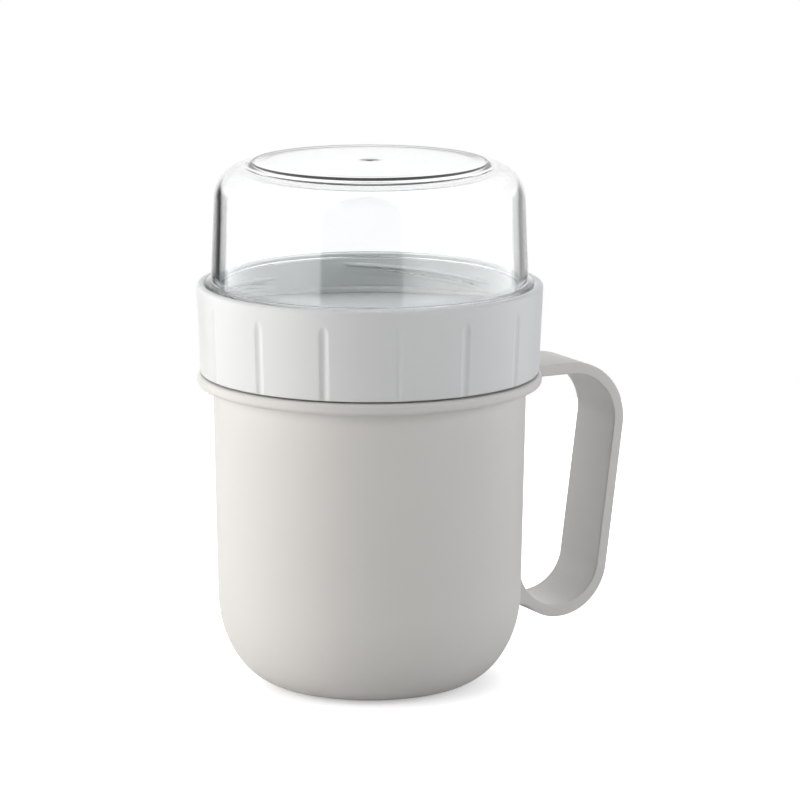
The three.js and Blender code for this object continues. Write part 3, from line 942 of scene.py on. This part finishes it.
def studio_rays(tree):
    """Masks of the rays that look at the studio, and of those that were mirrored on the way."""
    path = add_node(tree, "ShaderNodeLightPath").outputs
    looking = add_node(tree, "ShaderNodeMath", {
        0: path["Is Camera Ray"], 1: path["Is Glossy Ray"],
    }, operation="MAXIMUM")
    looking = add_node(tree, "ShaderNodeMath", {
        0: looking, 1: path["Is Transmission Ray"],
    }, operation="MAXIMUM")
    # Depths are whole numbers, so 0.5 tells none from some
    direct = add_node(tree, "ShaderNodeMath", {0: path["Diffuse Depth"], 1: 0.5}, operation="LESS_THAN")
    mirrored = add_node(tree, "ShaderNodeMath", {0: path["Glossy Depth"], 1: 0.5}, operation="GREATER_THAN")
    seen = add_node(tree, "ShaderNodeMath", {0: looking, 1: direct}, operation="MULTIPLY")
    return seen, mirrored


print("the unlit room's brightness:", MIRRORED_DARK)

# %% White floor
FLOOR_RADIUS, FLOOR_STEPS = 450, 96
FLOOR_GAP = 0.05  # keeps the cup's base from lying in the same plane
CONTACT = 14  # distance round the base in which the floor's glow is painted darker, as a painted contact shadow
PAINTED_CONTACT_SHADOW = 0.62  # how much of the white glow the painted contact shadow takes away where they touch

floor_mesh = bpy.data.meshes.new("white_floor")
work = bmesh.new()
bmesh.ops.create_circle(work, cap_ends=True, segments=FLOOR_STEPS, radius=FLOOR_RADIUS * MM)
work.to_mesh(floor_mesh)
work.free()
floor = bpy.data.objects.new("white_floor", floor_mesh)
floor.location.z = -FLOOR_GAP * MM
bpy.context.scene.collection.objects.link(floor)

paper, tree = new_surface("white_studio_paper")
seen, mirrored = studio_rays(tree)
white = add_node(tree, "ShaderNodeMix", {
    "Factor": mirrored, "A": 1, "B": MIRRORED_DARK,
}, data_type="FLOAT")
# The floor's glow is painted darker near the cup by ambient occlusion: a painted contact shadow, not one
# cast by the lamps
contact = add_node(tree, "ShaderNodeAmbientOcclusion", {"Distance": CONTACT * MM})
shade = add_node(tree, "ShaderNodeMix", {
    "Factor": PAINTED_CONTACT_SHADOW, "A": 1, "B": contact.outputs["AO"],
}, data_type="FLOAT")
glow = add_node(tree, "ShaderNodeMath", {0: seen, 1: white}, operation="MULTIPLY")
glow = add_node(tree, "ShaderNodeMath", {0: glow, 1: shade}, operation="MULTIPLY")
shine = add_node(tree, "ShaderNodeEmission", {"Color": linear("#ffffff"), "Strength": glow})
matt = add_node(tree, "ShaderNodeBsdfDiffuse", {"Color": linear("#e0e0e0")})
lit = add_node(tree, "ShaderNodeAddShader", {0: matt, 1: shine})
add_node(tree, "ShaderNodeOutputMaterial", {"Surface": lit})
floor_mesh.materials.append(paper)
print(f"floor {2 * FLOOR_RADIUS} mm across, shaded within {CONTACT} mm of the base")

# %% [markdown]
# ## Cards round the cup
#
# A clear bowl is mostly reflections. In the photograph its front mirrors two large white cards, with a dark
# gap between them where the lens looks through. Lamps of that shape would light the cup as well. So the
# cards are drawn in the world, as a brightness round the horizon that only mirrored rays see. Behind the
# cup, those rays see the white backdrop rise from the horizon.

# %% World
AMBIENT = 0.05
THROUGH_WHITE = 1.18  # makes up for what the bowl's walls take away from the white behind it
HORIZON = 0.02, 0.1  # heights of a ray's direction between which the backdrop rises
BRIGHTEST = 3
# What mirrored rays see round the cup: degrees counted from the camera, and a brightness
ROUND_THE_CUP = [
    (-166, 1), (-156, MIRRORED_DARK),  # the backdrop and its left edge
    (-130, MIRRORED_DARK), (-129, 2.6), (-60, 2.4),  # a card on the left
    (-36.7, 2), (-35.7, MIRRORED_DARK),  # and its edge beside the lens
    (23.4, MIRRORED_DARK), (24.4, 1.3), (46, 2.2), (129, 2.4), (130, 0.35),  # a card on the right
    (156, 0.35), (166, 1),  # the backdrop's right edge
]


def ramp_grey(brightness):
    """A brightness as a colour of the ramp, which holds no more than white."""
    return (brightness / BRIGHTEST,) * 3 + (1,)


world = bpy.data.worlds.new("white_studio")
bpy.context.scene.world = world
world.use_nodes = True
tree = world.node_tree
tree.nodes.clear()
direction = add_node(tree, "ShaderNodeTexCoord").outputs["Generated"]
from_camera = add_node(tree, "ShaderNodeMapping", {
    "Vector": direction, "Rotation": (0, 0, math.radians(CAMERA_AZIMUTH)), "Scale": (1, -1, 1),
})
part = add_node(tree, "ShaderNodeSeparateXYZ", {"Vector": from_camera}).outputs
angle = add_node(tree, "ShaderNodeMath", {0: part["X"], 1: part["Y"]}, operation="ARCTAN2")
share = add_node(tree, "ShaderNodeMapRange", {
    "Value": angle, "From Min": -math.pi, "From Max": math.pi,
})
ramp = add_node(tree, "ShaderNodeValToRGB", {"Fac": share})
stops = ramp.color_ramp.elements
for end in stops:
    end.color = ramp_grey(1)
for degrees, brightness in ROUND_THE_CUP:
    stops.new(0.5 + degrees / 360).color = ramp_grey(brightness)
print("stops round the cup:", len(stops))

# %% What each ray gets from the world
cards = add_node(tree, "ShaderNodeMath", {0: ramp, 1: BRIGHTEST}, operation="MULTIPLY")
risen = add_node(tree, "ShaderNodeMapRange", {
    "Value": part["Z"], "From Min": HORIZON[0], "From Max": HORIZON[1],
})
behind = add_node(tree, "ShaderNodeMath", {0: part["Y"], 1: 0}, operation="LESS_THAN")
backdrop = add_node(tree, "ShaderNodeMath", {0: risen, 1: behind}, operation="MULTIPLY")
mirror = add_node(tree, "ShaderNodeMath", {0: cards, 1: backdrop}, operation="MAXIMUM")
seen, mirrored = studio_rays(tree)
through = add_node(tree, "ShaderNodeLightPath").outputs["Is Transmission Ray"]
plain = add_node(tree, "ShaderNodeMix", {"Factor": through, "A": 1, "B": THROUGH_WHITE}, data_type="FLOAT")
white = add_node(tree, "ShaderNodeMix", {"Factor": mirrored, "A": plain, "B": mirror}, data_type="FLOAT")
level = add_node(tree, "ShaderNodeMix", {"Factor": seen, "A": AMBIENT, "B": white}, data_type="FLOAT")
sky = add_node(tree, "ShaderNodeBackground", {"Color": linear("#ffffff"), "Strength": level})
add_node(tree, "ShaderNodeOutputWorld", {"Surface": sky})
print(f"ambient light {AMBIENT}, white {THROUGH_WHITE} through the bowl")

# %% [markdown]
# ## Lamps
#
# The key is a large soft box low on the left, and a narrower one fills in from the right. Together they
# shade the cup from side to side. Two more behind the cup light its back and the inner face of the handle,
# and a weak panel overhead lifts the rims and the handle's top. Only the panel shows in reflections: the
# low boxes stand where the cards do.

# %% Soft boxes
LAMP_REACH = 700
WHITE_WATTS = 4  # for each square metre of a lamp that looks white


def soft_box(name, azimuth, height, width, depth, brightness, aim, reach=LAMP_REACH, mirrored=False):
    """A lamp round the cup that faces a height on its axis. At a brightness of 1 it looks white."""
    lamp = bpy.data.lights.new(name, "AREA")
    lamp.shape = "RECTANGLE"
    lamp.size, lamp.size_y = width * MM, depth * MM
    lamp.energy = brightness * WHITE_WATTS * lamp.size * lamp.size_y
    # Else the bowl's bending of rays costs light inside it
    lamp.cycles.use_multiple_importance_sampling = False
    box = bpy.data.objects.new(name, lamp)
    box.location = round_about(CAMERA_AZIMUTH + azimuth, reach, height)
    away = box.location - Vector((0, 0, aim * MM))
    box.rotation_euler = away.to_track_quat("Z", "Y").to_euler()
    box.visible_camera = box.visible_transmission = False
    box.visible_glossy = mirrored
    bpy.context.scene.collection.objects.link(box)
    print(f"{name}: {lamp.energy:.2f} W")
    return box


key = soft_box("key_soft_box", azimuth=-67, height=290, width=900, depth=580, brightness=3.05, aim=290)
key.data.color = linear("#fffcf8")[:3]
soft_box("fill_soft_box", azimuth=70, height=290, width=500, depth=580, brightness=2.45, aim=290)
soft_box("back_soft_box", azimuth=180, height=450, width=450, depth=700, brightness=2.3, aim=300)
soft_box("back_left_soft_box", azimuth=-140, height=400, width=450, depth=580, brightness=1.7, aim=300)
soft_box(
    "top_panel", azimuth=170, height=900, width=900, depth=900, brightness=0.37, aim=0,
    reach=250, mirrored=True,
)
bpy.context.scene.view_settings.view_transform = "Standard"
